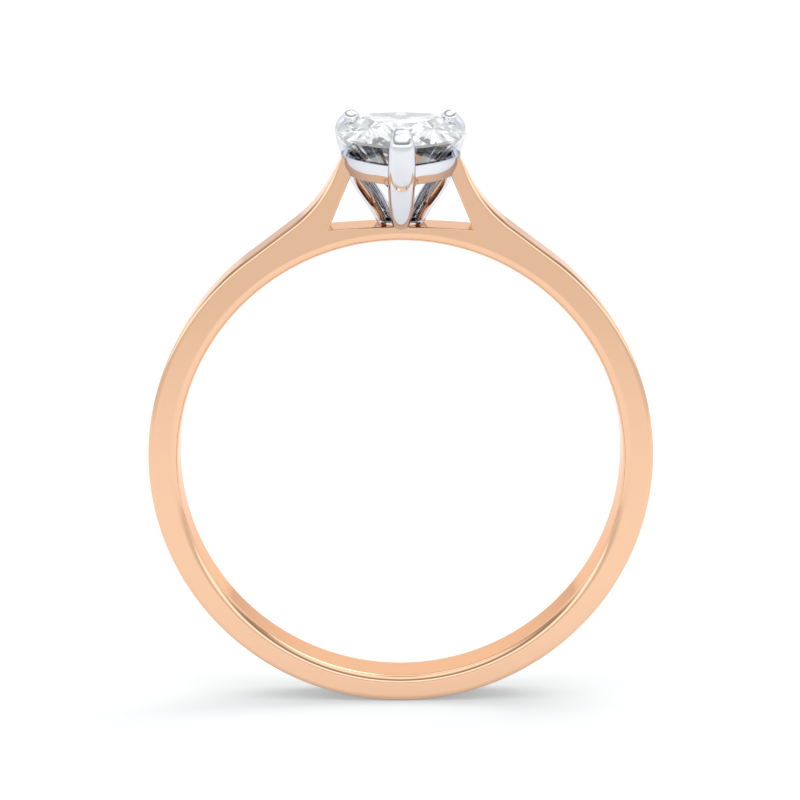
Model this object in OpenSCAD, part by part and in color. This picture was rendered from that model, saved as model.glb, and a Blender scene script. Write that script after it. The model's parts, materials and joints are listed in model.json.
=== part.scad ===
// Cathedral engagement ring with a pear-cut stone in a three-claw head.
// Origin: centre of the finger hole. +Z runs up through the head, +Y is the finger's axis,
// the point of the pear looks towards -Y. Millimetres.

/* [Band] */
// Diameter of the finger hole
finger_d = 17.2; // [15:0.1:20]
// Width of the band along the finger
band_w = 2.1; // [1.6:0.1:3]
// Thickness of the band at the two sides
band_t = 1.14; // [1:0.02:1.6]
// How far the outer circle is raised, which thins the back of the band
band_lift = 0.14; // [0:0.02:0.2]
// Rounding of the edges against the finger
comfort_r = 0.26; // [0.1:0.02:0.35]
// Rounding of the outer edges
edge_r = 0.1; // [0.05:0.01:0.2]
// Angle above the horizontal where hoop and shoulders are soldered
hoop_seam = 46; // [44:1:50]

/* [Shoulders and bridge] */
// Angle above the horizontal where the outer curve leaves the circle
sweep_start = 53; // [51:1:55]
// Length of the straight stretch before the shoulder curves up
sweep_run = 2.2; // [2:0.1:2.4]
// Radius of the concave sweep up to the head
sweep_r = 5; // [4.6:0.1:5.4]
// Height of the bridge's top over the finger hole's centre
bridge_z = 9.15; // [9.1:0.01:9.25]
// Radius of the bridge's crowned top
bridge_crown_r = 30; // [20:1:60]
// Half the width of the window at its sill
window_sill = 2.76; // [2.6:0.02:2.9]
// Half the width of the window at its top
window_top = 1.9; // [1.8:0.02:1.95]

/* [Head] */
// Bottom of the gallery rail
rail_z = 11.08; // [11:0.02:11.2]
// Height of the gallery rail
rail_h = 0.77; // [0.7:0.01:0.8]
// Wall of the gallery rail
rail_t = 0.35; // [0.25:0.05:0.45]
// How far the rail's lower edge lies inside the stone's outline
rail_inset_low = 0.41; // [0.36:0.01:0.45]
// How far the rail's upper edge lies inside the stone's outline
rail_inset_high = 0.2; // [0.15:0.01:0.25]
// Radius of the head's round foot
foot_r = 0.87; // [0.8:0.01:0.95]
// Height of the foot over the bridge
foot_h = 0.2; // [0.15:0.01:0.25]
// Radius of the peg that is soldered into the bridge
peg_r = 0.4; // [0.3:0.05:0.5]
// Depth of the peg in the bridge
peg_h = 0.35; // [0.3:0.01:0.4]
// Angle of the back claws round the stone's round end, from the side
claw_angle = 36; // [34:1:45]

/* [Stone] */
// Length of the pear
stone_l = 7.5; // [7.3:0.1:7.7]
// Width of the pear
stone_w = 5; // [4.9:0.1:5.1]
// Distance of the round end's centre behind the band's middle
stone_y = 0.4; // [0.2:0.1:0.6]
// Height of the girdle's underside
girdle_z = 12.48; // [12.4:0.02:12.56]
// Thickness of the girdle
girdle_t = 0.12; // [0.1:0.01:0.16]
// Height of the crown over the girdle
crown_h = 0.62; // [0.55:0.01:0.7]
// Depth of the pavilion under the girdle
pavilion_h = 2.5; // [2.2:0.05:2.6]
// Table width as a share of the stone's width
table_share = 0.58; // [0.55:0.01:0.62]

/* [Hidden] */
$fn = 96;
gold = "#E8B48F";
platinum = "#D9DCE2";
ice = "#EEF6FF";

finger_r = finger_d / 2;
outer_r = finger_r + band_t;
big = 30;

// How deep the foot's flat seat is cut into the crowned bridge
seat_cut = 0.05;
foot_z = bridge_z - seat_cut;
foot_top = foot_z + foot_h;
// Radius of the groove round the foot's upper edge
foot_groove_r = 0.06;
// Height left free between a shoulder's tip and the rail's upper edge
tip_drop = 0.06;
// Overlap that lets one solid cut cleanly through the end of another
over = 0.01;

// Solder seam between bridge and shoulder, through the corner of the window's sill
sill_z = bridge_z - (bridge_crown_r - sqrt(pow(bridge_crown_r, 2) - pow(window_sill, 2)));
bridge_seam = atan2(sill_z, window_sill);

// Tangent points of the shoulder's outer line, and the centre of its concave sweep
leave = [outer_r * cos(sweep_start), band_lift + outer_r * sin(sweep_start)];
rise = leave + sweep_run * [-sin(sweep_start), cos(sweep_start)];
sweep_c = rise + sweep_r * [cos(sweep_start), sin(sweep_start)];
rail_top = rail_z + rail_h;
tip_z = rail_top - tip_drop;

// Pear outline: a half circle at the round end, two large arcs down to the point
pear_a = stone_w / 2;
pear_l = stone_l - pear_a;
side_r = (pow(pear_l, 2) + pow(pear_a, 2)) / (2 * pear_a);
side_x = side_r - pear_a;

table_z = girdle_z + girdle_t + crown_h;
culet_z = girdle_z - pavilion_h;

// Direction of the outline's side at the point, and of the outward normals where the main
// facets touch the girdle, from the point round the right, the back and the left
point_v = asin(pear_l / side_r);
MAINS = [-point_v, -30, -6, 35, 90, 145, 186, 210, 180 + point_v];
// Height of the star facets' lower tips, and depth of the lower girdle facets' tips
star_share = 0.5;
lower_share = 0.75;

// ---------- band ----------

// Band section ring with rounded outer edges, before the finger hole is cut
module band_blank() {
    translate([0, 0, band_lift]) rotate([90, 0, 0])
    rotate_extrude($fn = 180) {
        translate([0, -band_w / 2 + edge_r]) square([outer_r, band_w - 2 * edge_r]);
        translate([0, -band_w / 2]) square([outer_r - edge_r, band_w]);
        for (s = [-1, 1])
            translate([outer_r - edge_r, s * (band_w / 2 - edge_r)]) circle(edge_r, $fn = 24);
    }
}

// What the finger hole takes away: a true bore and the two comfort roundings
module finger_cut() {
    rotate([90, 0, 0]) cylinder(r = finger_r, h = big, center = true, $fn = 180);
    for (s = [-1, 1]) rotate([90, 0, 0])
        rotate_extrude($fn = 180) difference() {
            translate([0, s > 0 ? band_w / 2 - comfort_r : -band_w])
                square([finger_r + comfort_r, comfort_r + band_w / 2]);
            translate([finger_r + comfort_r, s * (band_w / 2 - comfort_r)])
                circle(comfort_r, $fn = 32);
        }
}

// Wedge of the ring's plane between two angles, as a slab across the band
module wedge(from, to) {
    rotate([90, 0, 0])
    linear_extrude(height = big, center = true)
        polygon([[0, 0], for (i = [0:4]) big * [cos(from + (to - from) * i / 4),
                                                sin(from + (to - from) * i / 4)]]);
}

module shank_hoop() {
    color(gold) difference() {
        band_blank();
        finger_cut();
        wedge(hoop_seam, 180 - hoop_seam);
    }
}

// Side view of the right shoulder, from the hoop's seam to the gallery rail
module shoulder_profile() {
    difference() {
        union() {
            intersection() {
                translate([0, band_lift]) circle(outer_r, $fn = 180);
                polygon([[0, 0], big * [cos(hoop_seam), sin(hoop_seam)],
                         big * [cos(bridge_seam), sin(bridge_seam)]]);
            }
            polygon([[0, 0], leave, rise, [rise[0], tip_z], [window_top - rail_t, tip_z],
                     [window_top, rail_z], [window_sill, sill_z]]);
        }
        translate(sweep_c) circle(sweep_r, $fn = 180);
    }
}

module shoulder() {
    difference() {
        rotate([90, 0, 0]) linear_extrude(height = band_w, center = true) shoulder_profile();
        finger_cut();
        pear_frustum(rail_z, rail_top, -rail_inset_low, -rail_inset_high);
        pear_frustum(rail_z - rail_h, rail_z, -rail_inset_low, -rail_inset_low);
    }
}

module shoulder_right() { color(gold) shoulder(); }
module shoulder_left() { color(gold) mirror([1, 0, 0]) shoulder(); }

module bridge() {
    color(gold) difference() {
        intersection() {
            rotate([90, 0, 0]) linear_extrude(height = band_w, center = true)
                translate([0, bridge_z - bridge_crown_r]) circle(bridge_crown_r, $fn = 180);
            wedge(bridge_seam, 180 - bridge_seam);
        }
        finger_cut();
        translate([0, 0, foot_z]) cylinder(r = foot_r, h = foot_h);
        translate([0, 0, foot_z - peg_h]) cylinder(r = peg_r, h = peg_h + foot_h);
    }
}

// ---------- head ----------

module head_foot() {
    color(platinum) {
        translate([0, 0, foot_z]) difference() {
            cylinder(r = foot_r, h = foot_h);
            translate([0, 0, foot_h]) rotate_extrude()
                translate([foot_r, 0]) circle(foot_groove_r, $fn = 16);
        }
        translate([0, 0, foot_z - peg_h]) cylinder(r = peg_r, h = peg_h + foot_h / 2);
    }
}

// Solid with the pear's outline grown by low and high at its two ends
module pear_frustum(z0, z1, low, high) {
    h = z1 - z0;
    translate([0, stone_y, z0]) {
        cylinder(r1 = pear_a + low, r2 = pear_a + high, h = h);
        intersection() {
            for_side(-1) cylinder(r1 = side_r + low, r2 = side_r + high, h = h, $fn = 180);
            for_side(1) cylinder(r1 = side_r + low, r2 = side_r + high, h = h, $fn = 180);
            translate([-big, -big, 0]) cube([2 * big, big, h]);
        }
    }
}

module for_side(s) { translate([s * side_x, 0, 0]) children(); }

module gallery_rail() {
    color(platinum) difference() {
        pear_frustum(rail_z, rail_top, -rail_inset_low, -rail_inset_high);
        pear_frustum(rail_z - over, rail_top + over,
                     -rail_inset_low - rail_t, -rail_inset_high - rail_t);
    }
}

// Chain of balls, each joined to the next; a station is [x, y, z, radius]
module claw_bar(stations) {
    for (i = [0:len(stations) - 2]) hull() {
        for (k = [i, i + 1])
            translate([stations[k][0], stations[k][1], stations[k][2]])
                sphere(stations[k][3], $fn = 20);
    }
}

// Claw cut flat on the foot, notched round the rail and seated on the stone
module claw(stations) {
    color(platinum) difference() {
        claw_bar(stations);
        pear_frustum(rail_z, rail_top, -rail_inset_low, -rail_inset_high);
        stone_seat();
        translate([-big / 2, -big / 2, foot_z + foot_h - big]) cube(big);
    }
}

// Stations of the claw at the point: foot, leg, belly, rail, girdle, tip
point_y = stone_y - pear_l;
FRONT = [[0, -0.6, foot_top, 0.36], [0, -1.9, 9.95, 0.42], [0, -2.9, 10.6, 0.47],
         [0, -4.0, 11.6, 0.5], [0, point_y - 0.02, girdle_z, 0.46], [0, point_y + 0.3, table_z - 0.5, 0.4]];

// Stations of a claw at the round end: foot, belly, rail, girdle, tip, the last four given by
// their distance from the round end's centre, height and radius
BACK_FOOT = [0.42, 0.22];
BACK = [[1.86, 10.65, 0.36], [2.26, 11.5, 0.38], [2.62, girdle_z, 0.4], [2.42, table_z - 0.42, 0.36]];
function at_round_end(r, s) = [s * r * cos(claw_angle), stone_y + r * sin(claw_angle)];
function back_stations(s) = [
    [s * BACK_FOOT[0], BACK_FOOT[1], foot_top, 0.36],
    for (b = BACK) [each at_round_end(b[0], s), b[1], b[2]]];

module claw_front() { claw(FRONT); }
module claw_back_left() { claw(back_stations(-1)); }
module claw_back_right() { claw(back_stations(1)); }

// ---------- stone ----------

// Furthest reach of the pear's outline in direction v, from the round end's centre
function reach(v) =
    let (w = v > 90 ? 180 - v : v)
    w >= 0 ? pear_a :
    w > -asin(pear_l / side_r) ? side_r - side_x * cos(w) : -pear_l * sin(w);

// Point of the outline whose outward normal is v
function outline(v) =
    let (w = v > 90 ? 180 - v : v, s = v > 90 ? -1 : 1)
    w >= 0 ? [s * pear_a * cos(w), pear_a * sin(w)] :
    w > -asin(pear_l / side_r) ? [s * (side_r * cos(w) - side_x), side_r * sin(w)] :
    [0, -pear_l];

// Direction in which main facet i faces
function facing(i) = i == 0 || i == len(MAINS) - 1 ? -90 : MAINS[i];

// Corner where the outline's tangents at main facets i and i + 1 meet
function corner(i) =
    let (a = facing(i), b = facing(i + 1), k = sin(b - a))
    [reach(a) * sin(b) - reach(b) * sin(a), reach(b) * cos(a) - reach(a) * cos(b)] / k;

function lift(q, z) = [q[0], q[1], z];

// Takes away all that lies beyond the plane through p with the outward normal n
module cut_plane(p, n) {
    translate(p) rotate([0, acos(n[2] / norm(n)), atan2(n[1], n[0])])
        translate([-10, -10, 0]) cube([20, 20, 10]);
}

// Plane that touches the girdle in direction v and slopes inwards over run by rise
module cut_main(v, z, rise, run) {
    cut_plane([reach(v) * cos(v), reach(v) * sin(v), z],
              [abs(rise) * cos(v), abs(rise) * sin(v), sign(rise) * run]);
}

// Plane through three points, facing up for side 1 and down for side -1
module cut_through(a, b, c, side) {
    n = cross(b - a, c - a);
    cut_plane(a, sign(n[2]) == side ? n : -n);
}

// Stone with its eight main facets above and below the girdle
module stone_mains() {
    difference() {
        translate([0, -stone_y, 0]) pear_frustum(culet_z, table_z, 0, 0);
        for (i = [0:len(MAINS) - 2]) {
            v = facing(i);
            cut_main(v, girdle_z + girdle_t, crown_h, (1 - table_share) * reach(v));
            cut_main(v, girdle_z, -pavilion_h, reach(v));
        }
    }
}

// The stars, upper girdle and lower girdle facets between two neighbouring mains
module cut_between(i) {
    a = outline(MAINS[i]);
    b = outline(MAINS[i + 1]);
    m = outline((MAINS[i] + MAINS[i + 1]) / 2);
    top = girdle_z + girdle_t;
    star = lift((1 - (1 - table_share) * star_share) * corner(i), top + star_share * crown_h);
    low = lift((1 - lower_share) * corner(i), girdle_z - lower_share * pavilion_h);
    cut_through(lift(table_share * a, table_z), lift(table_share * b, table_z), star, 1);
    for (q = [a, b]) {
        cut_through(lift(q, top), lift(m, top), star, 1);
        cut_through(lift(q, girdle_z), lift(m, girdle_z), low, -1);
    }
}

module stone_seat() { translate([0, stone_y, 0]) stone_mains(); }

module diamond() {
    color(ice) translate([0, stone_y, 0]) difference() {
        stone_mains();
        for (i = [0:len(MAINS) - 2]) cut_between(i);
    }
}

shank_hoop();
shoulder_left();
shoulder_right();
bridge();
head_foot();
gallery_rail();
claw_front();
claw_back_left();
claw_back_right();
diamond();
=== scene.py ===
"""Finish of the cathedral engagement ring: rose gold band, platinum head, pear-cut diamond.

Laid out as a Blender add-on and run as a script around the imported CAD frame. Metres, +Z up.
"""

import json
import math

import bmesh
import bpy
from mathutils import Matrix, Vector


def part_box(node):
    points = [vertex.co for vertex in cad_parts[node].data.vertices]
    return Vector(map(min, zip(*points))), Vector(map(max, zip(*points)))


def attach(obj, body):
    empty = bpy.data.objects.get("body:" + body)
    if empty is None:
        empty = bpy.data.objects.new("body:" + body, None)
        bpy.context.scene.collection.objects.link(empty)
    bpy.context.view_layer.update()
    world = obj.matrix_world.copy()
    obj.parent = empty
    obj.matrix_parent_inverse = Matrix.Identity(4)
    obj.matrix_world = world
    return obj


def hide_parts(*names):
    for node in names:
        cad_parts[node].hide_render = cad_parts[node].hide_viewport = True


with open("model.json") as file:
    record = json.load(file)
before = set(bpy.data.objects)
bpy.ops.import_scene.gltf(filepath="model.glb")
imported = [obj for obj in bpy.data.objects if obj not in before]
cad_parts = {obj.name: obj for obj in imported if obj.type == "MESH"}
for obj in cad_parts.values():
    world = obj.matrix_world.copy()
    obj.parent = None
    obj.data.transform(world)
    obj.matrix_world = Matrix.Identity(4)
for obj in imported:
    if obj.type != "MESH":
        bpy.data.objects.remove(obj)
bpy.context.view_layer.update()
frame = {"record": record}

bl_info = {
    "name": "Cathedral ring maker",
    "version": (1, 0, 0),
    "blender": (4, 5, 0),
    "location": "View3D > Sidebar > Ring",
    "description": "Builds the finished pieces of a cathedral ring around its CAD frame",
    "category": "Object",
}

MM = 0.001
X, Y, Z = Vector((1, 0, 0)), Vector((0, 1, 0)), Vector((0, 0, 1))

MOUNTS = {mount["name"]: mount for mount in frame["record"]["mounts"]}
FINGER_R = MOUNTS["finger_bore"]["dims"]["r_mm"] * MM
HOOP_LOW, HOOP_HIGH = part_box("shank_hoop")
RAIL_LOW, RAIL_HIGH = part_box("gallery_rail")
STONE_LOW, STONE_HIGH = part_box("diamond")
FOOT_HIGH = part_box("head_foot")[1]
BRIDGE_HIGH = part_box("bridge")[1]
SHOULDER_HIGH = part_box("shoulder_right")[1]


# ---------- settings ----------

def length(name, description, default, **more):
    """A length in metres, given here in millimetres."""
    return bpy.props.FloatProperty(name=name, description=description, default=default * MM,
                                   unit="LENGTH", precision=5, **more)


def angle(name, description, default):
    """An angle, given here in degrees."""
    return bpy.props.FloatProperty(name=name, description=description,
                                   default=math.radians(default), unit="ROTATION")


def linear(hex_code):
    """Linear colour of an sRGB hex value."""
    value = hex_code.lstrip("#")
    channels = [int(value[i:i + 2], 16) / 255 for i in (0, 2, 4)]
    return [c / 12.92 if c <= 0.04045 else ((c + 0.055) / 1.055) ** 2.4 for c in channels]


def colour(name, description, hex_code):
    """A colour, given here as sRGB hex."""
    return bpy.props.FloatVectorProperty(name=name, description=description, subtype="COLOR",
                                         size=3, min=0, max=1, default=linear(hex_code))


class RingBandSettings(bpy.types.PropertyGroup):
    """Sizes and colour of the rose gold band."""
    comfort: length("Comfort depth", "Depth of the rounding against the finger", 0.26)
    comfort_reach: length("Comfort reach", "Reach of that rounding over the flat side", 0.34)
    edge: length("Outer edge depth", "Depth of the rounding of the polished outer edges", 0.13)
    edge_reach: length("Outer edge reach", "Reach of that rounding over the flat side", 0.2)
    sill: length("Window edge", "Rounding of the window's edges", 0.05)
    hoop_seam: angle("Hoop seam", "Angle above the horizontal of the soldered seams", 46)
    sweep_start: angle("Sweep start", "Angle at which the shoulder leaves the circle", 53)
    sweep_run: length("Sweep run", "Straight stretch of the shoulder", 2.2)
    sweep_radius: length("Sweep radius", "Radius of the concave sweep up to the head", 5)
    window_sill: length("Window sill", "Half the width of the window at its sill", 2.76)
    window_top: length("Window top", "Half the width of the window at its top", 1.9)
    crown_radius: length("Bridge crown", "Radius of the bridge's crowned top", 30)
    gold: colour("Rose gold", "Colour of the polished rose gold", "#F3C6A4")
    rim: colour("Gold rim", "Tint of the gold seen at a glancing angle", "#F7DAC4")


class RingHeadSettings(bpy.types.PropertyGroup):
    """Sizes and colour of the platinum head."""
    wall: length("Rail wall", "Wall of the gallery rail", 0.35)
    rail_edge: length("Rail edge", "Rounding of the rail's edges", 0.06)
    rail_flare: length("Rail flare", "How far the rail's top stands out over its foot", 0.24)
    claw_turn: angle("Back claws", "Angle of the back claws round the round end", 36)
    front_width: length("Front claw", "Width of the claw at the point", 1.02)
    back_width: length("Back claw", "Width of the claws at the round end", 0.8)
    platinum: colour("Platinum", "Colour of the polished platinum", "#E4E5EA")
    rim: colour("Platinum rim", "Tint of the platinum seen at a glancing angle", "#C9CCD4")


class RingStoneSettings(bpy.types.PropertyGroup):
    """Cut and colour of the pear-shaped diamond."""
    girdle: length("Girdle", "Thickness of the girdle", 0.12)
    crown: length("Crown", "Height of the crown over the girdle", 0.62)
    table: bpy.props.FloatProperty(name="Table", default=0.58, min=0.5, max=0.7,
                                   description="Width of the table as a share of the stone's",
                                   subtype="FACTOR")
    tint: colour("Tint", "Colour of the diamond", "#FDFEFF")
    # Painted reflection: the pavilion's dark facets take this colour, which stands in for the dark
    # surroundings that real facets reflect
    shade: colour("Shade", "Colour of the pavilion's dark facets", "#15161A")


class RingStageSettings(bpy.types.PropertyGroup):
    """Camera, floor and light."""
    distance: length("Distance", "Camera's distance from its target", 110)
    lens: bpy.props.FloatProperty(name="Lens", description="Focal length in mm", default=127.75)
    pitch: angle("Pitch", "How far the camera looks down", 11.7)
    turn: angle("Turn", "How far the camera stands round to the right", -0.5)
    target: length("Target height", "Height the camera looks at", 2.24)
    floor: colour("Floor", "Colour of the pale floor", "#D6D6D6")
    glow: bpy.props.FloatProperty(name="Glow", description="Light from under the floor",
                                  default=0.54, min=0, max=2)


def settings(context):
    scene = context.scene
    return scene.ring_band, scene.ring_head, scene.ring_stone, scene.ring_stage


# ---------- materials ----------

# Width of the swirls and hairlines that the buff leaves, and how deep the hairlines are. Real
# hairlines are a hundredth of a millimetre wide: these are drawn coarser, so that they show.
SWIRL = 1.4 * MM
HAIRLINE = 0.12 * MM
HAIRLINE_DEPTH = 0.002 * MM
# Painted reflection streaks of the pavilion, and the noise values between which the tint turns to
# the painted dark
PAINTED_STREAKS_PER_RADIAN = 9.0
PAINTED_STREAK_START, PAINTED_STREAK_END = 0.53, 0.545
# Facets whose normals differ by less than this share their streaks
FACET_STEP = 0.02
# Where the painted shade on the floor begins to darken it towards the front, and where it is
# darkest
FLOOR_BRIGHT_Y, FLOOR_DARK_Y = -25 * MM, -105 * MM
FLOOR_PAINTED_SHADE = 0.8

# Sockets of a Mix node that mixes colours: its factor, both colours and the result
MIX_FACTOR, MIX_A, MIX_B, MIXED = 0, 6, 7, 2


def add_node(tree, kind, inputs=None, links=None, **attributes):
    """Adds a node, sets its attributes and sockets, and links its inputs."""
    node = tree.nodes.new(kind)
    for name, value in attributes.items():
        setattr(node, name, value)
    for name, value in (inputs or {}).items():
        node.inputs[name].default_value = value
    for name, socket in (links or {}).items():
        tree.links.new(socket, node.inputs[name])
    return node


def new_material(name):
    material = bpy.data.materials.new(name)
    material.use_nodes = True
    material.node_tree.nodes.clear()
    return material, material.node_tree


def rgba(color):
    return (*color, 1.0)


def polished_metal(name, color, warmth, rim):
    """Lathe-turned or hand-filed metal taken to a mirror on the buff.

    The buff leaves faint swirls, which the eye reads as a barely uneven gloss, and hairlines
    that only soften the highlights.
    """
    material, tree = new_material(name)
    place = add_node(tree, "ShaderNodeTexCoord")
    swirl = add_node(tree, "ShaderNodeTexNoise", {"Scale": 1 / SWIRL, "Detail": 3},
                     {"Vector": place.outputs["Object"]})
    hairline = add_node(tree, "ShaderNodeTexNoise", {"Scale": 1 / HAIRLINE, "Detail": 2},
                        {"Vector": place.outputs["Object"]})
    rough = add_node(tree, "ShaderNodeMapRange", {"To Min": 0.045, "To Max": 0.085},
                     {"Value": swirl.outputs["Fac"]})
    tone = add_node(tree, "ShaderNodeMix", {MIX_A: rgba(color), MIX_B: rgba(warmth)},
                    {"Factor": swirl.outputs["Fac"]}, data_type="RGBA")
    buff = add_node(tree, "ShaderNodeBump", {"Strength": 0.05, "Distance": HAIRLINE_DEPTH},
                    {"Height": hairline.outputs["Fac"]})
    shader = add_node(tree, "ShaderNodeBsdfPrincipled",
                      {"Metallic": 1.0, "Specular Tint": rgba(rim)},
                      {"Base Color": tone.outputs[MIXED], "Roughness": rough.outputs["Result"],
                       "Normal": buff.outputs["Normal"]})
    add_node(tree, "ShaderNodeOutputMaterial", None, {"Surface": shader.outputs["BSDF"]})
    return material


def cut_diamond(name, tint, shade, centre, girdle):
    """Cut and polished diamond: clear, with the highest index of any gem.

    In a real stone, light that enters from the side is thrown about between the facets, so below
    the girdle dark and white streaks run down to the culet, broken at each facet. Here the dark
    streaks
    are painted reflection: where a ray enters the pavilion from outside, facets picked by noise
    take the dark shade colour in place of the tint. A little of the light is scattered, and a faint
    painted glow, in the tint or the painted dark, stands in for the light lost on long paths
    between facets, as the many small flashes of a real stone blend to white at this size.
    """
    material, tree = new_material(name)
    place = add_node(tree, "ShaderNodeNewGeometry")
    offset = add_node(tree, "ShaderNodeVectorMath", {1: tuple(centre)},
                      {0: place.outputs["Position"]}, operation="SUBTRACT")
    axes = add_node(tree, "ShaderNodeSeparateXYZ", None, {"Vector": offset.outputs["Vector"]})
    below = add_node(tree, "ShaderNodeMath", {1: girdle - centre.z},
                     {0: axes.outputs["Z"]}, operation="LESS_THAN")
    entering = add_node(tree, "ShaderNodeMath", {0: 1.0},
                        {1: place.outputs["Backfacing"]}, operation="SUBTRACT")
    # Painted reflection: below the girdle, facets picked by noise are painted the dark shade colour
    # as dark streaks
    facet = add_node(tree, "ShaderNodeVectorMath", {1: (FACET_STEP, FACET_STEP, FACET_STEP)},
                     {0: place.outputs["True Normal"]}, operation="SNAP")
    painted_streak_pick = add_node(tree, "ShaderNodeTexWhiteNoise", None, {"Vector": facet.outputs["Vector"]},
                      noise_dimensions="3D")
    round_axis = add_node(tree, "ShaderNodeMath", None,
                          {0: axes.outputs["X"], 1: axes.outputs["Y"]}, operation="ARCTAN2")
    streak = add_node(tree, "ShaderNodeCombineXYZ", None, {"X": round_axis.outputs["Value"],
                                                           "Y": painted_streak_pick.outputs["Value"]})
    noise = add_node(tree, "ShaderNodeTexNoise", {"Scale": PAINTED_STREAKS_PER_RADIAN, "Detail": 1.0},
                     {"Vector": streak.outputs["Vector"]}, noise_dimensions="2D")
    dark = add_node(tree, "ShaderNodeMapRange", {"From Min": PAINTED_STREAK_START, "From Max": PAINTED_STREAK_END,
                                                 "To Min": 1.0, "To Max": 0.0},
                    {"Value": noise.outputs["Fac"]})
    pavilion = add_node(tree, "ShaderNodeMath", None,
                        {0: below.outputs["Value"], 1: entering.outputs["Value"]},
                        operation="MULTIPLY")
    shaded = add_node(tree, "ShaderNodeMath", None,
                      {0: pavilion.outputs["Value"], 1: dark.outputs["Result"]},
                      operation="MULTIPLY")
    tone = add_node(tree, "ShaderNodeMix", {MIX_A: rgba(tint), MIX_B: rgba(shade)},
                    {"Factor": shaded.outputs["Value"]}, data_type="RGBA")
    # Painted glow: the stone gives off a little light in its own colour, though it is no lamp
    shader = add_node(tree, "ShaderNodeBsdfPrincipled",
                      {"Roughness": 0.0, "IOR": 2.417, "Transmission Weight": 0.92,
                       "Emission Strength": 0.03},
                      {"Base Color": tone.outputs[MIXED], "Emission Color": tone.outputs[MIXED]})
    add_node(tree, "ShaderNodeOutputMaterial", None, {"Surface": shader.outputs["BSDF"]})
    return material


def light_table(name, color, glow):
    """Matt white acrylic lit from below, which fills the shadow; its colour and glow are darkened
    towards the front by painted shade, standing in for light that falls off there.
    """
    material, tree = new_material(name)
    place = add_node(tree, "ShaderNodeTexCoord")
    axes = add_node(tree, "ShaderNodeSeparateXYZ", None, {"Vector": place.outputs["Object"]})
    # Painted shade: the floor's colour and glow are darkened towards the front
    painted_front_shade = add_node(tree, "ShaderNodeMapRange",
                    {"From Min": FLOOR_DARK_Y, "From Max": FLOOR_BRIGHT_Y,
                     "To Min": FLOOR_PAINTED_SHADE, "To Max": 1.0},
                    {"Value": axes.outputs["Y"]}, interpolation_type="SMOOTHSTEP")
    tone = add_node(tree, "ShaderNodeVectorMath", {0: tuple(color)},
                    {"Scale": painted_front_shade.outputs["Result"]}, operation="SCALE")
    shader = add_node(tree, "ShaderNodeBsdfPrincipled",
                      {"Roughness": 0.8, "Specular IOR Level": 0.2, "Emission Strength": glow},
                      {"Base Color": tone.outputs["Vector"],
                       "Emission Color": tone.outputs["Vector"]})
    add_node(tree, "ShaderNodeOutputMaterial", None, {"Surface": shader.outputs["BSDF"]})
    return material


# ---------- meshes ----------

# The shoulder's tip: how far it stands out over the window's top, how far its inner edge ends
# below the tip, and how far its outer edge draws in to meet it
PEAK_OUT = 0.17 * MM
PEAK_DROP = 0.02 * MM
PEAK_DRAW_IN = 0.1 * MM
# Shares of the shoulder's outer curve that lie opposite the window's sill and top
AT_SILL, AT_TOP = 0.6, 0.88
# Nose radius of the rail's point, and how far the nose falls short of a sharp corner
NOSE_R = 0.42 * MM
NOSE_GAP = 0.12 * MM
# Power below 1 that squares the claws' oval section, and one that blunts their tips
OVAL_SQUARENESS = 0.84
TIP_BLUNTNESS = 0.82
# Shares of the rail's height at which its outer wall stops leaning straight, and is upright
WALL_STRAIGHT, WALL_UPRIGHT = 0.35, 0.75
# Depth under the table at which the claws bend over the stone's edge
GIRDLE_DROP = 0.72 * MM
# How far foot and claws reach into what they are soldered to, and the foot's rolled edge
FOOT_SINK = 0.05 * MM
CLAW_SINK = 0.12 * MM
FOOT_ROLL = 0.08 * MM


def new_piece(name, mesh, material, node):
    """Adds the mesh to the scene as the finished form of a CAD node."""
    if not mesh.polygons:
        raise ValueError(name + " has no faces")
    piece = bpy.data.objects.new(name, mesh)
    bpy.context.scene.collection.objects.link(piece)
    mesh.materials.append(material)
    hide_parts(node)
    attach(piece, "root")
    return piece


def skin(name, rings, normals, wrap=False):
    """Mesh over a row of closed rings of points, shaded by the true normal at each point.

    Points that coincide are one vertex. Unless the row wraps round, flat faces close its ends.
    """
    spots, verts, faces, shades = {}, [], [], []

    def spot(point):
        key = tuple(round(c / (1e-4 * MM)) for c in point)
        if key not in spots:
            spots[key] = len(verts)
            verts.append(tuple(point))
        return spots[key]

    def add_face(corners):
        kept = []
        for index, shade in corners:
            if not any(index == other for other, _ in kept):
                kept.append((index, shade))
        if len(kept) > 2:
            faces.append([index for index, _ in kept])
            shades.extend(tuple(shade) for _, shade in kept)

    grid = [[(spot(p), n) for p, n in zip(*row)] for row in zip(rings, normals)]
    count = len(rings[0])
    for i in range(len(rings) if wrap else len(rings) - 1):
        here, there = grid[i], grid[(i + 1) % len(grid)]
        for k in range(count):
            m = (k + 1) % count
            add_face([here[k], there[k], there[m], here[m]])
    if not wrap:
        for row, other in ((0, 1), (-1, -2)):
            facing = sum(rings[row], Vector()) - sum(rings[other], Vector())
            loop = [(index, facing.normalized()) for index, _ in grid[row]]
            add_face(loop if row == 0 else loop[::-1])
    mesh = bpy.data.meshes.new(name)
    mesh.from_pydata(verts, [], faces)
    for face in mesh.polygons:
        face.use_smooth = True
    inward = sum(face.normal.dot(Vector(shades[face.loop_start])) for face in mesh.polygons) < 0
    if inward:
        mesh.flip_normals()
        turned = []
        for face in mesh.polygons:
            corners = shades[face.loop_start:face.loop_start + face.loop_total]
            given = dict(zip(faces[face.index], corners))
            turned += [given[mesh.loops[i].vertex_index] for i in face.loop_indices]
        shades = turned
    mesh.normals_split_custom_set(shades)
    return mesh


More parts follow.
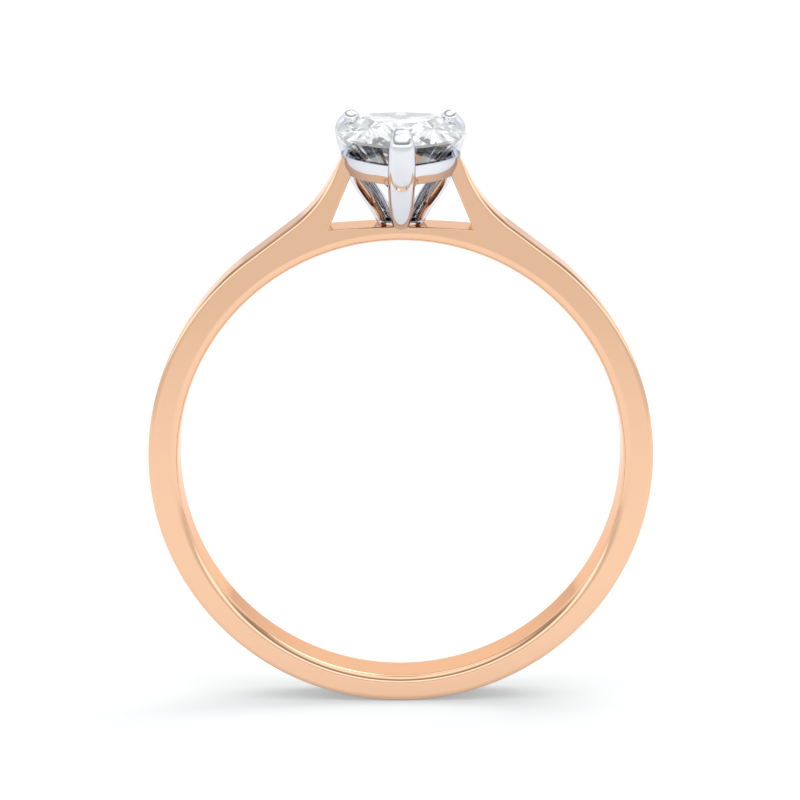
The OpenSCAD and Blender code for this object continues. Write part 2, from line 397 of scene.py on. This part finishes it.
def bar_section(inner, inner_in, outer, outer_in, radii, half, steps=8):
    """Ring of points, and their normals, round a flat-sided bar between two edge curves.

    inner and outer are points of the two curves, *_in their normals into the metal. radii has
    the rounding of each edge, as its reach over the flat side and its depth across the bar.
    """
    points, shades = [], []
    for side in (-1, 1):
        order = [(inner, inner_in, radii[0]), (outer, outer_in, radii[1])]
        if side > 0:
            order.reverse()
        for place, (point, into, (reach, depth)) in enumerate(order):
            turn = [k / steps for k in range(steps + 1)]
            if place == 1:
                turn.reverse()
            for t in turn:
                c, s = math.cos(t * math.pi / 2), math.sin(t * math.pi / 2)
                across = side * (half - depth * (1 - s))
                points.append(point + into * (reach * (1 - c)) + Y * across)
                shades.append((-into * (c / reach) + Y * (side * s / depth)).normalized())
    return points, shades


def both(rounding):
    """Equal reach and depth of a rounding."""
    return rounding, rounding


def polar(r, a, lift=0.0):
    return Vector((r * math.cos(a), 0, lift + r * math.sin(a)))


def spread(start, end, count):
    return [start + (end - start) * i / (count - 1) for i in range(count)]


class BandShape:
    """The curves of the band in the plane of the ring."""

    def __init__(self, band):
        self.band = band
        self.r = HOOP_HIGH.x
        self.lift = HOOP_LOW.z + self.r
        self.half = (HOOP_HIGH.y - HOOP_LOW.y) / 2
        self.comfort = (band.comfort_reach, band.comfort)
        self.edge = (band.edge_reach, band.edge)
        out = polar(1, band.sweep_start)
        along = Vector((-out.z, 0, out.x))
        self.leave = polar(self.r, band.sweep_start, self.lift)
        self.rise = self.leave + along * band.sweep_run
        self.sweep = self.rise + out * band.sweep_radius
        self.out = out
        drop = band.crown_radius - math.sqrt(band.crown_radius ** 2 - band.window_sill ** 2)
        self.sill = Vector((band.window_sill, 0, BRIDGE_HIGH.z - drop))
        self.top = Vector((band.window_top, 0, RAIL_LOW.z))
        window = (self.top - self.sill).normalized()
        self.window_in = Vector((window.z, 0, -window.x))
        self.crown = Vector((0, 0, BRIDGE_HIGH.z - band.crown_radius))
        self.seam = math.atan2(self.sill.z, self.sill.x)
        # Where window edge and sill meet, the rounding runs along the line between the two
        sill_in = (self.crown - self.sill).normalized()
        self.mitre_in = (self.window_in + sill_in).normalized()
        self.mitre = (band.sill / self.mitre_in.dot(sill_in), band.sill)

    def inner(self, a):
        """Point of the finger hole at angle a, and the normal into the metal."""
        return polar(FINGER_R, a), polar(1, a)

    def circle(self, a):
        """Point of the raised outer circle in direction a from the hole's centre."""
        shift = self.lift * math.sin(a)
        reach = shift + math.sqrt(self.r ** 2 - (self.lift * math.cos(a)) ** 2)
        point = polar(reach, a)
        return point, -(point - Z * self.lift).normalized()

    def shoulder(self, s):
        """Point of the shoulder's outer curve at length s from where it leaves the circle."""
        band = self.band
        if s <= 0:
            a = band.sweep_start + s / self.r
            return polar(self.r, a, self.lift), -polar(1, a)
        if s <= band.sweep_run:
            return self.leave + Vector((-self.out.z, 0, self.out.x)) * s, -self.out
        a = band.sweep_start + math.pi - (s - band.sweep_run) / band.sweep_radius
        return self.sweep + polar(band.sweep_radius, a), polar(1, a)


def build_hoop(shape, material):
    seam = shape.band.hoop_seam
    rings, normals = [], []
    for a in spread(seam, -math.pi - seam, 241):
        inner, outer = shape.inner(a), shape.circle(a)
        ring, shade = bar_section(*inner, *outer, (shape.comfort, shape.edge), shape.half)
        rings.append(ring)
        normals.append(shade)
    return new_piece("hoop", skin("hoop", rings, normals), material, "shank_hoop")


def mirrored(rings, side):
    return [[Vector((p.x * side, p.y, p.z)) for p in ring] for ring in rings]


def build_shoulder(shape, side, material):
    """From the hoop's seam round to the bridge, then up the arm to a tip against the rail."""
    band = shape.band
    start_point = shape.circle(band.hoop_seam)[0] - Z * shape.lift
    start = (math.atan2(start_point.z, start_point.x) - band.sweep_start) * shape.r
    tip_turn = math.asin((shape.sweep.z - SHOULDER_HIGH.z) / band.sweep_radius)
    tip = band.sweep_run + band.sweep_radius * (band.sweep_start - tip_turn)
    seam = shape.seam
    peak = Vector((band.window_top + PEAK_OUT, 0, SHOULDER_HIGH.z - PEAK_DROP))
    rest = tip - start
    rings, normals = [], []

    def station(inner, along, radii, draw_in=0.0):
        outer, outer_in = shape.shoulder(start + rest * along)
        ring, shade = bar_section(*inner, outer - X * draw_in, outer_in, radii, shape.half)
        rings.append(ring)
        normals.append(shade)

    for t in spread(0, 1, 49):
        station(shape.inner(band.hoop_seam + (seam - band.hoop_seam) * t), AT_SILL * t,
                (shape.comfort, shape.edge))
    station((shape.sill, shape.mitre_in), AT_SILL, (shape.mitre, shape.edge))
    for t in spread(0, 1, 33)[1:]:
        station((shape.sill.lerp(shape.top, t), shape.window_in),
                AT_SILL + (AT_TOP - AT_SILL) * t, (both(band.sill), shape.edge))
    for t in spread(0, 1, 17)[1:]:
        station((shape.top.lerp(peak, t), shape.window_in), AT_TOP + (1 - AT_TOP) * t,
                (both(band.sill), [r + (band.sill - r) * t for r in shape.edge]),
                PEAK_DRAW_IN * t ** 2)
    name = "shoulder_right" if side > 0 else "shoulder_left"
    mesh = skin(name, mirrored(rings, side), mirrored(normals, side))
    return new_piece(name + "_arm", mesh, material, name)


def build_bridge(shape, material):
    """Bar between the shoulders, crowned on top and bored with the finger hole."""
    band = shape.band
    rings, normals = [], []
    for t in spread(-1, 1, 81):
        inner = shape.inner(math.pi / 2 - (math.pi / 2 - shape.seam) * t)
        a = math.acos(band.window_sill * t / band.crown_radius)
        outer, outer_in = shape.crown + polar(band.crown_radius, a), -polar(1, a)
        rounding = both(band.sill)
        if abs(t) == 1:
            outer_in = Vector((shape.mitre_in.x * t, 0, shape.mitre_in.z))
            rounding = shape.mitre
        ring, shade = bar_section(*inner, outer, outer_in, (shape.comfort, rounding),
                                  shape.half)
        rings.append(ring)
        normals.append(shade)
    return new_piece("bridge_bar", skin("bridge_bar", rings, normals), material, "bridge")


class Pear:
    """Pear outline: a half circle, two long arcs and a small nose, each tangent to the next."""

    def __init__(self, half, reach, nose, y):
        self.half, self.nose, self.y = half, nose, y
        self.side = ((reach - nose) ** 2 + half ** 2 - nose ** 2) / (2 * (half - nose))
        self.shift = self.side - half
        self.nose_y = math.sqrt((self.side - nose) ** 2 - self.shift ** 2)
        self.turn = math.atan2(self.nose_y, self.shift)

    def at(self, v, grow=0.0):
        """Point whose outward normal is at angle v, grown outwards, and that normal."""
        sign = 1 if math.cos(v) >= 0 else -1
        w = math.asin(max(-1, min(1, math.sin(v))))
        if w >= 0:
            centre, radius = Vector((0, 0, 0)), self.half
        elif w > -self.turn:
            centre, radius = Vector((-self.shift, 0, 0)), self.side
        else:
            centre, radius = Vector((0, -self.nose_y, 0)), self.nose
        normal = Vector((math.cos(w), math.sin(w), 0))
        point = centre + normal * (radius + grow)
        return Vector((sign * point.x, point.y + self.y, 0)), Vector((sign * normal.x, normal.y, 0))

    def walk(self, head, side, nose):
        """Normal angles of points all round, with so many steps on each arc."""
        right = spread(-math.pi / 2, -self.turn, nose + 1)[:-1]
        right += spread(-self.turn, 0, side + 1)[:-1] + spread(0, math.pi / 2, head + 1)[:-1]
        return right + [math.pi - v for v in [math.pi / 2] + right[:0:-1]]


def stone_pear(nose):
    half = STONE_HIGH.x
    centre = STONE_HIGH.y - half
    return Pear(half, centre - STONE_LOW.y, nose, centre)


def build_rail(head, material):
    """Pear-shaped band, its outer wall bellied so that it turns under towards the bridge."""
    flare = head.rail_flare
    centre = stone_pear(0).y
    half_low = RAIL_HIGH.x - flare
    pear = Pear(half_low, centre - RAIL_LOW.y - flare - NOSE_GAP, NOSE_R, centre)
    h = RAIL_HIGH.z - RAIL_LOW.z
    edge, wall, steps = head.rail_edge, head.wall, 4
    belly = 12

    def outer_wall(t):
        """How far the wall stands out at the share t of its height, and how much it leans."""
        slope = flare / h / ((WALL_STRAIGHT + WALL_UPRIGHT) / 2)
        if t < WALL_STRAIGHT:
            return slope * h * t, math.atan(slope)
        bend = WALL_UPRIGHT - WALL_STRAIGHT
        left = max(0, WALL_UPRIGHT - t) / bend
        return flare - slope * h * bend * left ** 2 / 2, math.atan(slope * left)

    # Each section point: how far out, how high, and the direction it faces, out and up
    section = []
    low_share, high_share = edge / h, 1 - edge / h
    for a in spread(-math.pi / 2, -outer_wall(low_share)[1], steps + 1):
        grow = outer_wall(low_share)[0] - edge
        section.append((grow + edge * math.cos(a), edge + edge * math.sin(a), a))
    for t in spread(low_share, high_share, belly)[1:-1]:
        grow, lean = outer_wall(t)
        section.append((grow, h * t, -lean))
    for a in spread(-outer_wall(high_share)[1], math.pi / 2, steps + 1):
        section.append((flare - edge + edge * math.cos(a), h - edge + edge * math.sin(a), a))
    for grow, rise, first in ((flare - wall + edge, h - edge, math.pi / 2),
                              (edge - wall, edge, math.pi)):
        for a in spread(first, first + math.pi / 2, steps + 1):
            section.append((grow + edge * math.cos(a), rise + edge * math.sin(a), a))
    rings, normals = [], []
    for v in pear.walk(40, 40, 14):
        ring, shade = [], []
        for grow, rise, a in section:
            point, normal = pear.at(v, grow)
            ring.append(point + Z * (RAIL_LOW.z + rise))
            shade.append(normal * math.cos(a) + Z * math.sin(a))
        rings.append(ring)
        normals.append(shade)
    return new_piece("rail", skin("rail", rings, normals, wrap=True), material, "gallery_rail")


def curve_through(points, count):
    """Smooth curve through the points, evenly sampled between each two."""
    padded = [points[0] * 2 - points[1]] + points + [points[-1] * 2 - points[-2]]
    result = []
    for i in range(1, len(padded) - 2):
        p0, p1, p2, p3 = padded[i - 1:i + 3]
        for k in range(count):
            t = k / count
            result.append(0.5 * ((2 * p1) + (p2 - p0) * t + (2 * p0 - 5 * p1 + 4 * p2 - p3) * t ** 2
                                 + (3 * p1 - p0 - 3 * p2 + p3) * t ** 3))
    return result + [points[-1]]


def oval(centre, across, outward, width, depth, around):
    """Slightly squared oval, as of half-round wire that has been filed flatter."""
    def square(value):
        return math.copysign(abs(value) ** OVAL_SQUARENESS, value)

    return [centre + across * (width * square(math.cos(a)))
            + outward * (depth * square(math.sin(a)))
            for a in spread(0, 2 * math.pi, around + 1)[:-1]]


def build_claw(name, node, stations, across, material, around=40, tip_steps=14):
    """Bar of oval section swept up its stations and closed by a round tip.

    A station is a point, half the width across the claw and half the depth.
    """
    path = curve_through([Vector((*p, w, d)) for p, w, d in stations], 12)
    spots = [Vector(s[:3]) for s in path]
    rings = []
    for i, spot in enumerate(spots):
        along = (spots[min(i + 1, len(spots) - 1)] - spots[max(i - 1, 0)]).normalized()
        outward = along.cross(across).normalized()
        rings.append(oval(spot, across, outward, path[i][3], path[i][4], around))
    end = spots[-1]
    width, depth = path[-1][3], path[-1][4]
    for t in spread(0, math.pi / 2, tip_steps + 1)[1:-1]:
        c, s = math.cos(t) ** TIP_BLUNTNESS, math.sin(t)
        rings.append(oval(end + along * (depth * s), across, outward, width * c, depth * c,
                          around))
    mesh = bpy.data.meshes.new(name)
    verts = [p for ring in rings for p in ring] + [end + along * depth]
    faces = [[i * around + k, i * around + (k + 1) % around,
              (i + 1) * around + (k + 1) % around, (i + 1) * around + k]
             for i in range(len(rings) - 1) for k in range(around)]
    last = (len(rings) - 1) * around
    faces += [[last + k, last + (k + 1) % around, len(verts) - 1] for k in range(around)]
    faces.append(list(range(around))[::-1])
    mesh.from_pydata([tuple(v) for v in verts], [], faces)
    for poly in mesh.polygons:
        poly.use_smooth = True
    return new_piece(name, mesh, material, node)


def claw_stations(head):
    """Stations of the claws, as a place, half the width and half the depth, from foot to tip."""
    round_y = stone_pear(0).y
    foot, table = FOOT_HIGH.z, STONE_HIGH.z
    girdle = table - GIRDLE_DROP
    fw, bw = head.front_width / 2, head.back_width / 2
    point_y = STONE_LOW.y

    def up(share):
        """Height at a share of the way from the foot to the table."""
        return foot + (table - foot) * share

    front = [((0, -0.62 * MM, foot - CLAW_SINK), 0.6 * fw, 0.62 * fw),
             ((0, -1.25 * MM, up(0.07)), 0.8 * fw, 0.72 * fw),
             ((0, -2.0 * MM, up(0.18)), 0.9 * fw, 0.76 * fw),
             ((0, -3.0 * MM, up(0.345)), 0.97 * fw, 0.78 * fw),
             ((0, point_y + 0.6 * MM, up(0.56)), fw, 0.76 * fw),
             ((0, point_y, girdle), 0.93 * fw, 0.84 * fw),
             ((0, point_y + 0.24 * MM, table - 0.36 * MM), 0.8 * fw, 0.72 * fw)]
    backs = {}
    for side, name in ((-1, "left"), (1, "right")):
        def at(r, z):
            """Place r millimetres out from the middle of the stone's round end."""
            turn = head.claw_turn
            return (side * r * MM * math.cos(turn), round_y + r * MM * math.sin(turn), z)

        backs[name] = [((side * 0.5 * MM, 0.3 * MM, foot - CLAW_SINK), 0.9 * bw, 0.85 * bw),
                       (at(1.15, up(0.14)), 0.95 * bw, 0.9 * bw),
                       (at(1.86, up(0.345)), bw, 0.9 * bw),
                       (at(2.28, up(0.56)), bw, 0.86 * bw),
                       (at(2.62, girdle), bw, 0.95 * bw),
                       (at(2.36, table - 0.24 * MM), 0.84 * bw, 0.8 * bw)]
    return front, backs


def build_foot(material):
    """Round foot with a rolled edge, standing on the bridge."""
    r = FOOT_HIGH.x
    top, low, roll = FOOT_HIGH.z, BRIDGE_HIGH.z - FOOT_SINK, FOOT_ROLL
    profile = [(0, low), (r - roll, low)]
    profile += [(r - roll + roll * math.cos(a), low + roll + roll * math.sin(a))
                for a in spread(-math.pi / 2, 0, 6)]
    profile += [(r - roll + roll * math.cos(a), top - roll + roll * math.sin(a))
                for a in spread(0, math.pi / 2, 6)]
    profile += [(r * 0.6, top), (0, top)]
    mesh = bpy.data.meshes.new("foot")
    layer = bmesh.new()
    rows = [[layer.verts.new((p * math.cos(a), p * math.sin(a), z))
             for a in spread(0, 2 * math.pi, 73)[:-1]] for p, z in profile]
    for low_row, high_row in zip(rows, rows[1:]):
        for k in range(len(low_row)):
            m = (k + 1) % len(low_row)
            layer.faces.new((low_row[k], low_row[m], high_row[m], high_row[k]))
    bmesh.ops.remove_doubles(layer, verts=layer.verts[:], dist=1e-7)
    for face in layer.faces:
        face.smooth = True
    layer.to_mesh(mesh)
    layer.free()
    return new_piece("foot", mesh, material, "head_foot")


# ---------- stone ----------

# Angles, in degrees, that the main facets face between the two at the point
MAIN_TURNS = (-30, -6, 35, 90, 145, 186, 210)
# How far the stars reach down the crown, and the lower halves down the pavilion
STAR_SHARE = 0.5
LOWER_SHARE = 0.75
# Room between the stone and the seats cut into the claws, and the angle above which an edge of
# a seat is shaded as a sharp one
SEAT_GAP = 0.01 * MM
SEAT_SHARP = math.radians(35)


class StoneCut:
    """Planes of a pear brilliant: mains, stars and girdle facets, laid against the outline."""

    def __init__(self, stone):
        self.pear = stone_pear(0)
        self.pear.y = 0
        self.y = stone_pear(0).y
        self.low = STONE_HIGH.z - stone.crown - stone.girdle
        self.top = STONE_HIGH.z - stone.crown
        self.stone = stone
        point = math.degrees(self.pear.turn)
        self.turns = [math.radians(v) for v in (-point, *MAIN_TURNS, 180 + point)]
        self.planes = []
        for i in range(len(self.turns) - 1):
            self.add_main(self.facing(i))
            self.add_between(i)

    def facing(self, i):
        """Angle that main i faces: the two at the point face straight along it."""
        return -math.pi / 2 if i in (0, len(self.turns) - 1) else self.turns[i]

    def outline(self, i, j=None):
        """Outline point of main i, or halfway between mains i and j."""
        turn = self.turns[i] if j is None else (self.turns[i] + self.turns[j]) / 2
        if math.sin(turn) < -math.sin(self.pear.turn) + 1e-6:
            return Vector((0, -self.pear.nose_y, 0))
        return self.pear.at(turn)[0]

    def reach(self, v):
        """Distance of the outline's tangent that faces v."""
        if math.sin(v) < -math.sin(self.pear.turn):
            return -self.pear.nose_y * math.sin(v)
        return self.pear.at(v)[0].dot(Vector((math.cos(v), math.sin(v), 0)))

    def corner(self, i):
        """Where the edges of mains i and i + 1 would meet outside the outline."""
        a, b = self.facing(i), self.facing(i + 1)
        ra, rb, k = self.reach(a), self.reach(b), math.sin(b - a)
        return Vector((ra * math.sin(b) - rb * math.sin(a),
                       rb * math.cos(a) - ra * math.cos(b), 0)) / k

    def add_main(self, v):
        """Planes of the crown main and the pavilion main that face v."""
        reach = self.reach(v)
        out = Vector((math.cos(v), math.sin(v), 0))
        run = (1 - self.stone.table) * reach
        self.planes.append((out * reach + Z * self.top, out * self.stone.crown + Z * run))
        depth = self.low - STONE_LOW.z
        self.planes.append((out * reach + Z * self.low, out * depth - Z * reach))

    def add_through(self, a, b, c, side):
        """Plane through three points, facing up for side 1 and down for side -1."""
        normal = (b - a).cross(c - a)
        self.planes.append((a, normal if normal.z * side > 0 else -normal))

    def add_between(self, i):
        """Star and girdle facets between mains i and i + 1."""
        a, b, m = self.outline(i), self.outline(i + 1), self.outline(i, i + 1)
        crown, table, depth = self.stone.crown, self.stone.table, self.low - STONE_LOW.z
        star = self.corner(i) * (1 - (1 - table) * STAR_SHARE) + Z * (self.top + STAR_SHARE * crown)
        low = self.corner(i) * (1 - LOWER_SHARE) + Z * (self.low - LOWER_SHARE * depth)
        face = Z * STONE_HIGH.z
        self.add_through(a * table + face, b * table + face, star, 1)
        for q in (a, b):
            self.add_through(q + Z * self.top, m + Z * self.top, star, 1)
            self.add_through(q + Z * self.low, m + Z * self.low, low, -1)

    def blank(self, layer, grow=0.0):
        """Pear prism from culet to table, ready to cut."""
        rim = []
        for v in self.pear.walk(32, 32, 1):
            point = self.pear.at(v, grow)[0]
            if not rim or (point - rim[-1]).length > 1e-6:
                rim.append(point)
        rows = [[layer.verts.new(p + Z * z + Y * self.y) for p in rim]
                for z in (STONE_LOW.z - grow, STONE_HIGH.z + grow)]
        count = len(rim)
        for k in range(count):
            m = (k + 1) % count
            layer.faces.new((rows[0][k], rows[0][m], rows[1][m], rows[1][k]))
        layer.faces.new(rows[0][::-1])
        layer.faces.new(rows[1])

    def cut(self, grow=0.0):
        """The finished stone, or one grown a little to cut the claws' seats with."""
        layer = bmesh.new()
        self.blank(layer, grow)
        for point, normal in self.planes:
            out = normal.normalized()
            parts = layer.verts[:] + layer.edges[:] + layer.faces[:]
            done = bmesh.ops.bisect_plane(layer, geom=parts, dist=1e-9, plane_no=out,
                                          plane_co=point + Y * self.y + out * grow,
                                          clear_outer=True)
            rim = [e for e in done["geom_cut"] if isinstance(e, bmesh.types.BMEdge)
                   and e.is_boundary]
            if rim:
                bmesh.ops.contextual_create(layer, geom=rim)
        bmesh.ops.remove_doubles(layer, verts=layer.verts[:], dist=2e-7)
        bmesh.ops.recalc_face_normals(layer, faces=layer.faces[:])
        mesh = bpy.data.meshes.new("stone")
        layer.to_mesh(mesh)
        layer.free()
        return mesh


def seat_on_stone(piece, cut):
    """Cuts the claw's seat round the stone."""
    tool = bpy.data.objects.new("seat_cutter", cut.cut(SEAT_GAP))
    bpy.context.scene.collection.objects.link(tool)
    seat = piece.modifiers.new("seat", "BOOLEAN")
    seat.operation = "DIFFERENCE"
    seat.solver = "EXACT"
    seat.object = tool
    graph = bpy.context.evaluated_depsgraph_get()
    mesh = bpy.data.meshes.new_from_object(piece.evaluated_get(graph))
    piece.modifiers.clear()
    piece.data = mesh
    if not mesh.polygons:
        raise ValueError(piece.name + " has nothing left after its seat was cut")
    mesh.set_sharp_from_angle(angle=SEAT_SHARP)
    bpy.data.objects.remove(tool)


# ---------- light ----------

# Sine of the elevation, then brightness: behind and beside the ring, and before it
BEHIND = ((0, 0.95), (0.12, 1.12), (0.22, 1.22), (0.48, 1.2), (0.6, 0.5), (0.68, 0.5), (0.84, 1.5))
BEFORE = ((0, 0.88), (0.14, 0.88), (0.2, 1.7), (0.36, 1.7), (0.46, 0.42), (0.62, 0.4), (0.82, 1.5))
# The white of the studio is a little cool
STUDIO_WHITE = Vector((0.98, 1.0, 1.01))
STUDIO_STRENGTH = 0.9
# Depth in the room over which the one passes into the other, as a share of the direction
BEFORE_Y, BEHIND_Y = -0.45, 0.05

# Metres, and watts for the lamp: a disc over the ring's right shoulder, a little behind it
FLOOR_HALF = 1.5
LAMP_SIZE = 0.16
LAMP_POWER = 0.1
LAMP_PLACE = Vector((0.1, 0.12, 0.2))
CLIP_END = 10
# The camera looks a little to the left of the ring's middle
TARGET_X = -0.029 * MM


def studio_world(world):
    """White studio: a soft box overhead, white walls behind and beside, a grey room in front."""
    world.use_nodes = True
    tree = world.node_tree
    tree.nodes.clear()
    place = add_node(tree, "ShaderNodeTexCoord")
    axes = add_node(tree, "ShaderNodeSeparateXYZ", None, {"Vector": place.outputs["Generated"]})
    skies = []
    for stops in (BEFORE, BEHIND):
        ramp = add_node(tree, "ShaderNodeValToRGB", None, {"Fac": axes.outputs["Z"]})
        bar = ramp.color_ramp.elements
        while len(bar) < len(stops):
            bar.new(0.5)
        for element, (height, brightness) in zip(bar, stops):
            element.position = height
            element.color = rgba(STUDIO_WHITE * brightness)
        skies.append(ramp.outputs["Color"])
    depth = add_node(tree, "ShaderNodeMapRange", {"From Min": BEFORE_Y, "From Max": BEHIND_Y},
                     {"Value": axes.outputs["Y"]}, interpolation_type="SMOOTHSTEP")
    sky = add_node(tree, "ShaderNodeMix", None,
                   {MIX_FACTOR: depth.outputs["Result"], MIX_A: skies[0], MIX_B: skies[1]},
                   data_type="RGBA")
    glow = add_node(tree, "ShaderNodeBackground", {"Strength": STUDIO_STRENGTH},
                    {"Color": sky.outputs[MIXED]})
    add_node(tree, "ShaderNodeOutputWorld", None, {"Surface": glow.outputs["Background"]})


# ---------- operators ----------

def gold_finish(band):
    """The one rose gold of hoop, bridge and shoulders."""
    name = "rose_gold_18k_buffed"
    return bpy.data.materials.get(name) or polished_metal(
        name, band.gold, [c * 0.97 for c in band.gold], band.rim)


def platinum_finish(head):
    """The one platinum of claws, rail and foot."""
    name = "platinum_950_buffed"
    return bpy.data.materials.get(name) or polished_metal(
        name, head.platinum, [c * 0.98 for c in head.platinum], head.rim)


class RING_OT_hoop(bpy.types.Operator):
    """Builds the open hoop of the band"""
    bl_idname = "ring.hoop"
    bl_label = "Hoop"

    def execute(self, context):
        band = settings(context)[0]
        build_hoop(BandShape(band), gold_finish(band))
        return {"FINISHED"}


class RING_OT_bridge(bpy.types.Operator):
    """Builds the bridge that closes the finger hole under the head"""
    bl_idname = "ring.bridge"
    bl_label = "Bridge"

    def execute(self, context):
        band = settings(context)[0]
        build_bridge(BandShape(band), gold_finish(band))
        return {"FINISHED"}


class RING_OT_shoulders(bpy.types.Operator):
    """Builds both shoulders, from the hoop up to the gallery rail"""
    bl_idname = "ring.shoulders"
    bl_label = "Shoulders"

    def execute(self, context):
        band = settings(context)[0]
        shape = BandShape(band)
        for side in (1, -1):
            build_shoulder(shape, side, gold_finish(band))
        return {"FINISHED"}


class RING_OT_claws(bpy.types.Operator):
    """Builds the three claws and cuts their seats to the stone"""
    bl_idname = "ring.claws"
    bl_label = "Claws"

    def execute(self, context):
        _, head, stone, _ = settings(context)
        platinum = platinum_finish(head)
        front, backs = claw_stations(head)
        claws = [build_claw("claw_point", "claw_front", front, X, platinum)]
        for side, name in ((-1, "left"), (1, "right")):
            turn = head.claw_turn
            across = Vector((-side * math.sin(turn), math.cos(turn), 0))
            claws.append(build_claw("claw_" + name, "claw_back_" + name, backs[name],
                                    across, platinum))
        cut = StoneCut(stone)
        for claw in claws:
            seat_on_stone(claw, cut)
        return {"FINISHED"}


class RING_OT_rail(bpy.types.Operator):
    """Builds the gallery rail under the stone"""
    bl_idname = "ring.rail"
    bl_label = "Gallery rail"

    def execute(self, context):
        head = settings(context)[1]
        build_rail(head, platinum_finish(head))
        return {"FINISHED"}


class RING_OT_foot(bpy.types.Operator):
    """Builds the head's round foot"""
    bl_idname = "ring.foot"
    bl_label = "Foot"

    def execute(self, context):
        build_foot(platinum_finish(settings(context)[1]))
        return {"FINISHED"}


class RING_OT_stone(bpy.types.Operator):
    """Cuts the pear-shaped diamond"""
    bl_idname = "ring.stone"
    bl_label = "Stone"

    def execute(self, context):
        stone = settings(context)[2]
        mesh = StoneCut(stone).cut()
        girdle = STONE_HIGH.z - stone.crown - stone.girdle
        centre = Vector((0, STONE_HIGH.y - STONE_HIGH.x, 0))
        material = cut_diamond("diamond_cut_and_polished", stone.tint, stone.shade, centre,
                               girdle)
        piece = new_piece("pear_diamond", mesh, material, "diamond")
        return {"FINISHED"}


class RING_OT_stage(bpy.types.Operator):
    """Sets the floor, the soft light and the camera"""
    bl_idname = "ring.stage"
    bl_label = "Stage"

    def execute(self, context):
        stage = settings(context)[3]
        scene = context.scene
        mesh = bpy.data.meshes.new("floor")
        corners = [(x * FLOOR_HALF, y * FLOOR_HALF, HOOP_LOW.z)
                   for x, y in ((-1, -1), (1, -1), (1, 1), (-1, 1))]
        mesh.from_pydata(corners, [], [(0, 1, 2, 3)])
        floor = bpy.data.objects.new("floor", mesh)
        mesh.materials.append(light_table("white_acrylic_matt", stage.floor, stage.glow))
        scene.collection.objects.link(floor)
        scene.world = bpy.data.worlds.new("studio")
        studio_world(scene.world)
        scene.view_settings.view_transform = "Standard"
        # Light thrown back by the polished metal would tint the floor's shadow
        scene.cycles.caustics_reflective = False
        scene.cycles.caustics_refractive = False

        light = bpy.data.lights.new("overhead", "AREA")
        light.shape = "DISK"
        light.size = LAMP_SIZE
        light.energy = LAMP_POWER
        lamp = bpy.data.objects.new("overhead", light)
        lamp.location = LAMP_PLACE
        lamp.rotation_euler = (-LAMP_PLACE).to_track_quat("-Z", "Y").to_euler()
        scene.collection.objects.link(lamp)

        lens = bpy.data.cameras.new("camera")
        lens.lens = stage.lens
        lens.clip_start = 1 * MM
        lens.clip_end = CLIP_END
        camera = bpy.data.objects.new("camera", lens)
        level = math.cos(stage.pitch)
        back = Vector((math.sin(stage.turn) * level, -math.cos(stage.turn) * level,
                       math.sin(stage.pitch)))
        target = Vector((TARGET_X, 0, stage.target))
        camera.location = target + back * stage.distance
        camera.rotation_euler = (-back).to_track_quat("-Z", "Y").to_euler()
        scene.collection.objects.link(camera)
        scene.camera = camera
        return {"FINISHED"}


class RING_PT_panel(bpy.types.Panel):
    """Lists the ring's settings and makers"""
    bl_label = "Ring"
    bl_idname = "RING_PT_panel"
    bl_space_type = "VIEW_3D"
    bl_region_type = "UI"
    bl_category = "Ring"

    def draw(self, context):
        scene = context.scene
        groups = ((scene.ring_stage, ("ring.stage",)),
                  (scene.ring_band, ("ring.hoop", "ring.bridge", "ring.shoulders")),
                  (scene.ring_head, ("ring.claws", "ring.rail", "ring.foot")),
                  (scene.ring_stone, ("ring.stone",)))
        for group, makers in groups:
            box = self.layout.box()
            for name in group.__annotations__:
                box.prop(group, name)
            for maker in makers:
                box.operator(maker)


CLASSES = (RingBandSettings, RingHeadSettings, RingStoneSettings, RingStageSettings,
           RING_OT_stage, RING_OT_hoop, RING_OT_bridge, RING_OT_shoulders, RING_OT_claws,
           RING_OT_rail, RING_OT_foot, RING_OT_stone, RING_PT_panel)
GROUPS = {"ring_band": RingBandSettings, "ring_head": RingHeadSettings,
          "ring_stone": RingStoneSettings, "ring_stage": RingStageSettings}


def register():
    for cls in CLASSES:
        bpy.utils.register_class(cls)
    for name, group in GROUPS.items():
        setattr(bpy.types.Scene, name, bpy.props.PointerProperty(type=group))


def unregister():
    for name in GROUPS:
        delattr(bpy.types.Scene, name)
    for cls in reversed(CLASSES):
        bpy.utils.unregister_class(cls)


def main():
    register()
    bpy.ops.ring.stage()
    bpy.ops.ring.hoop()
    bpy.ops.ring.bridge()
    bpy.ops.ring.shoulders()
    bpy.ops.ring.claws()
    bpy.ops.ring.rail()
    bpy.ops.ring.foot()
    bpy.ops.ring.stone()


if __name__ == "__main__":
    main()
